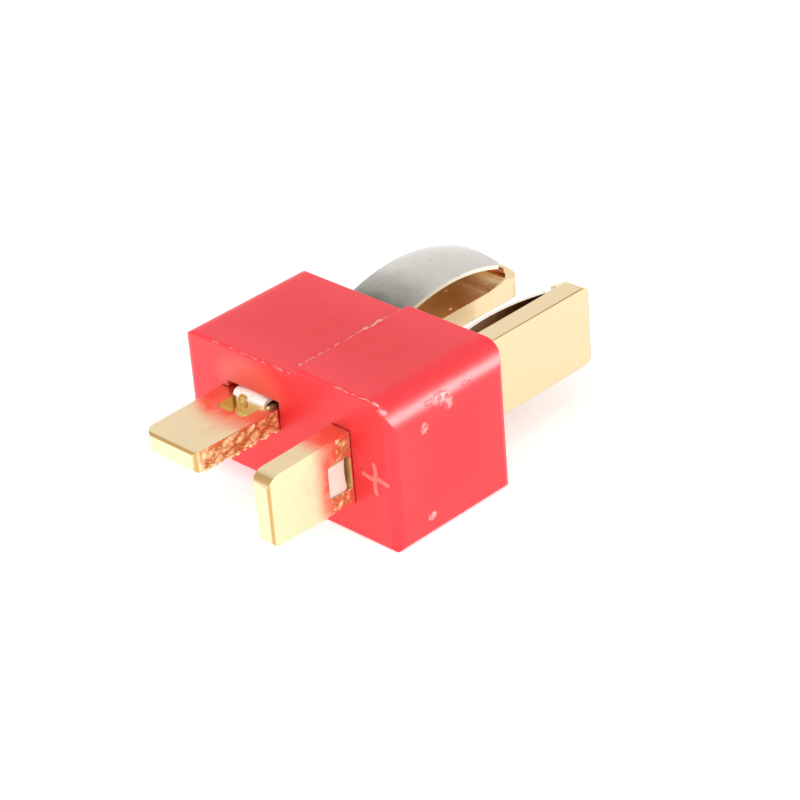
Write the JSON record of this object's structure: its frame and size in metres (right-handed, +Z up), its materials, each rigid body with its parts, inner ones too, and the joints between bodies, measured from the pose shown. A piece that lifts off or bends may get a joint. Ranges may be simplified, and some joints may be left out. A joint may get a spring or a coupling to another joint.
{
  "type": "t plug battery connector",
  "caption": "Male T-shaped battery plug: red nylon housing, two gold-plated blades at right angles, each with a bowed leaf spring and a solder tab.",
  "frame": {"origin": "middle of the housing's mating face: half the housing's width, half the height of the positive block", "axes": "+Y the mating direction, out of the mating face; +Z up, from the base to the top; +X towards the upright (positive) contact"},
  "size_m": [0.0158, 0.0251, 0.0088],
  "materials": {
    "nylon": "satin",
    "gold_plate": "polished plating",
    "spring_steel": "satin nickel"
  },
  "bodies": {
    "plug": {"housing": "nylon", "negative_contact": "gold_plate", "positive_contact": "gold_plate"},
    "negative_leaf": {"negative_spring": "spring_steel"},
    "positive_leaf": {"positive_spring": "spring_steel"}
  },
  "joints": [
    {"name": "negative_spring_flex", "type": "hinge", "parent": "plug", "child": "negative_leaf", "pos_m": [-0.00245, -0.00885, 0.00144], "axis": [-1, 0, 0], "range_deg": [0, 1.2], "stiffness_Nm_per_rad": 0.5},
    {"name": "positive_spring_flex", "type": "hinge", "parent": "plug", "child": "positive_leaf", "pos_m": [0.00364, -0.00885, -0.0004], "axis": [0, 0, -1], "range_deg": [-1.5, 0], "stiffness_Nm_per_rad": 0.5}
  ]
}
